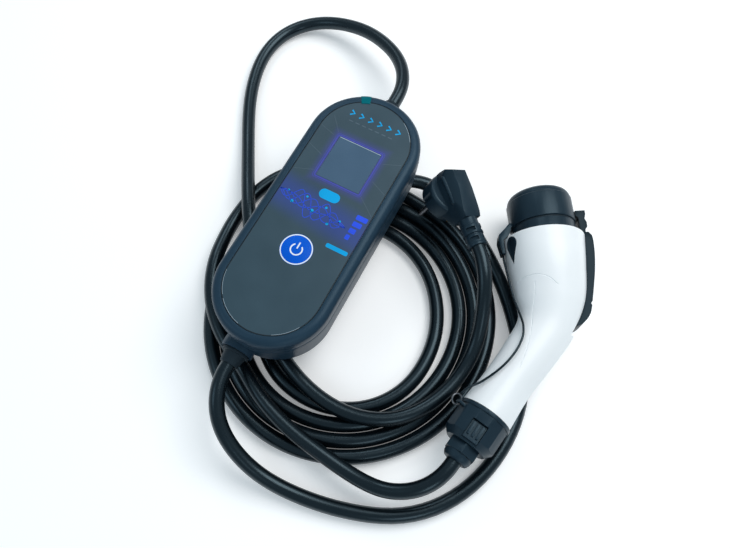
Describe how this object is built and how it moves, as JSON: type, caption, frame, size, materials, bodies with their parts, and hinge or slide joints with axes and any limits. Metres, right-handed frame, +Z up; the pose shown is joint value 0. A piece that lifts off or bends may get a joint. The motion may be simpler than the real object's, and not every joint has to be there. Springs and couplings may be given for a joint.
{
  "type": "portable ev charger",
  "caption": "Portable electric-vehicle charger: flat control box with display and round key, coiled cable, pistol-shaped vehicle connector with latch lever and dust cap, angled mains plug.",
  "frame": {"origin": "on the floor, under the middle of the bounding box of the control box and the connector", "axes": "+Z up from the floor the charger lies on, +Y towards the far end of the control box, +X towards the connector"},
  "size_m": [0.3224, 0.4763, 0.0728],
  "materials": {
    "housing_plastic": "fine grain",
    "panel": "satin film",
    "display": "gloss",
    "key": "gloss",
    "tab": "gloss film",
    "rubber": "matte",
    "board": "lacquered",
    "lcd": "matte",
    "relay_blue": "matte",
    "dark_component": "matte",
    "transformer_yellow": "matte",
    "terminal_green": "matte",
    "steel": "plated",
    "white_shell": "satin",
    "black_trim": "fine grain",
    "brass": "plated",
    "cable": "smooth jacket"
  },
  "bodies": {
    "base": {"rear_shell": "housing_plastic", "front_cover": "housing_plastic", "fascia_panel": "panel", "display_window": "display", "touch_key": "key", "film_pull_tab": "tab", "sealing_gasket": "rubber", "supply_gland": "rubber", "output_gland": "rubber", "nose_seal": "rubber", "main_board": "board", "lcd_module": "lcd", "power_relays": "relay_blue", "current_transformer": "dark_component", "smoothing_capacitors": "dark_component", "supply_transformer": "transformer_yellow", "supply_terminals": "terminal_green", "output_terminals": "terminal_green", "board_screws": "steel", "housing_screws": "steel", "body_screws": "steel", "lever_pin": "steel", "lever_spring": "steel", "lanyard_ring": "steel", "plug_pins": "steel", "body_upper": "white_shell", "body_lower": "white_shell", "side_insert": "black_trim", "nose_housing": "black_trim", "contact_carrier": "black_trim", "latch_bracket": "black_trim", "end_collar": "black_trim", "collar_insert": "black_trim", "gland_nut": "black_trim", "plug_body": "black_trim", "power_contacts": "brass", "earth_contact": "brass", "signal_contacts": "brass", "plug_earth_clips": "brass", "supply_cord": "cable", "vehicle_cord_lead": "cable", "vehicle_cord_coil": "cable", "vehicle_cord_tail": "cable", "cap_lanyard": "cable"},
    "lever": {"latch_lever": "black_trim"},
    "cap": {"dust_cap": "black_trim"}
  },
  "joints": [
    {"name": "lever_rock", "type": "hinge", "parent": "base", "child": "lever", "pos_m": [0.13845, 0.0072, 0.032], "axis": [0, 0, -1], "range_deg": [0, 5], "stiffness_Nm_per_rad": 1},
    {"name": "cap_pull", "type": "slide", "parent": "base", "child": "cap", "axis": [-0.0698, 0.9976, 0], "range_m": [0, 0.045]}
  ]
}
